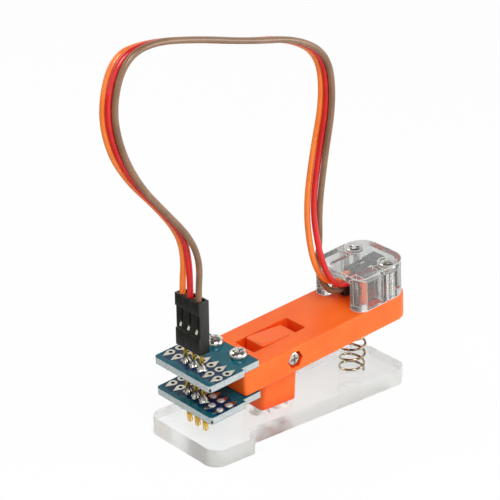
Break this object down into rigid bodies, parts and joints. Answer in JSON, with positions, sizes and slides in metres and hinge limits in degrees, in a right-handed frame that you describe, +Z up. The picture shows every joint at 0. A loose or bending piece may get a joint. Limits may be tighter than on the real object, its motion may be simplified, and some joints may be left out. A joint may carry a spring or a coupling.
{
  "type": "circuit board test fixture",
  "caption": "Hand lever fixture that holds spring probes on a small circuit board: clear base, orange sprung lever, two stacked probe boards and a wire lead under a clear cover.",
  "frame": {"origin": "middle of the base plate's underside", "axes": "+X along the lever from the probes to the clear cover, -Y the side with the pivot screw's head, +Z up"},
  "size_m": [0.0809, 0.022, 0.0923],
  "materials": {
    "clear_acrylic": "clear acrylic sheet with polished edges",
    "clear_plastic": "clear moulded plastic",
    "orange_plastic": "satin orange plastic",
    "board_mask": "dark teal solder mask over glass fibre board",
    "screw_steel": "bright plated steel",
    "spring_steel": "dark spring wire",
    "probe_gold": "gold plated brass",
    "solder_tin": "bright solder",
    "contact_tin": "tinned contact strip",
    "black_plastic": "black moulded plastic",
    "orange_insulation": "soft orange wire insulation",
    "red_insulation": "soft red wire insulation",
    "brown_insulation": "soft brown wire insulation"
  },
  "bodies": {
    "base": {"base_plate": "clear_acrylic", "base_screws": "screw_steel", "pivot_post": "orange_plastic", "return_spring": "spring_steel"},
    "lever": {"lever_arm": "orange_plastic", "pivot_screw": "screw_steel", "pivot_nut": "screw_steel", "upper_board": "board_mask", "lower_board": "board_mask", "board_screws": "screw_steel", "board_nuts": "screw_steel", "probe_barrel_left": "probe_gold", "probe_barrel_middle": "probe_gold", "probe_barrel_right": "probe_gold", "probe_spring_left": "spring_steel", "probe_spring_middle": "spring_steel", "probe_spring_right": "spring_steel", "upper_solder": "solder_tin", "lower_solder": "solder_tin", "plug_housing": "black_plastic", "plug_contacts": "contact_tin", "wire_orange": "orange_insulation", "wire_red": "red_insulation", "wire_brown": "brown_insulation", "rear_plug_double": "black_plastic", "rear_plug_single": "black_plastic", "rear_contacts": "contact_tin", "header_block": "black_plastic", "header_pins": "probe_gold", "connector_cover": "clear_plastic", "cover_screws": "screw_steel"},
    "plunger_left": {"probe_plunger_left": "probe_gold"},
    "plunger_middle": {"probe_plunger_middle": "probe_gold"},
    "plunger_right": {"probe_plunger_right": "probe_gold"}
  },
  "joints": [
    {"name": "lever_pivot", "type": "hinge", "parent": "base", "child": "lever", "pos_m": [-0.00528, 0, 0.01655], "axis": [0, 1, 0], "range_deg": [0, 14], "stiffness_Nm_per_rad": 0.2, "springref_deg": -8.59, "deforming": ["return_spring"]},
    {"name": "plunger_left_slide", "type": "slide", "parent": "lever", "child": "plunger_left", "axis": [-0.1011, 0, 0.9949], "range_m": [0, 0.002], "stiffness_N_per_m": 300, "springref_m": -0.0005, "deforming": ["probe_spring_left"]},
    {"name": "plunger_middle_slide", "type": "slide", "parent": "lever", "child": "plunger_middle", "axis": [-0.1011, 0, 0.9949], "range_m": [0, 0.002], "stiffness_N_per_m": 300, "springref_m": -0.0005, "deforming": ["probe_spring_middle"]},
    {"name": "plunger_right_slide", "type": "slide", "parent": "lever", "child": "plunger_right", "axis": [-0.1011, 0, 0.9949], "range_m": [0, 0.002], "stiffness_N_per_m": 300, "springref_m": -0.0005, "deforming": ["probe_spring_right"]}
  ]
}
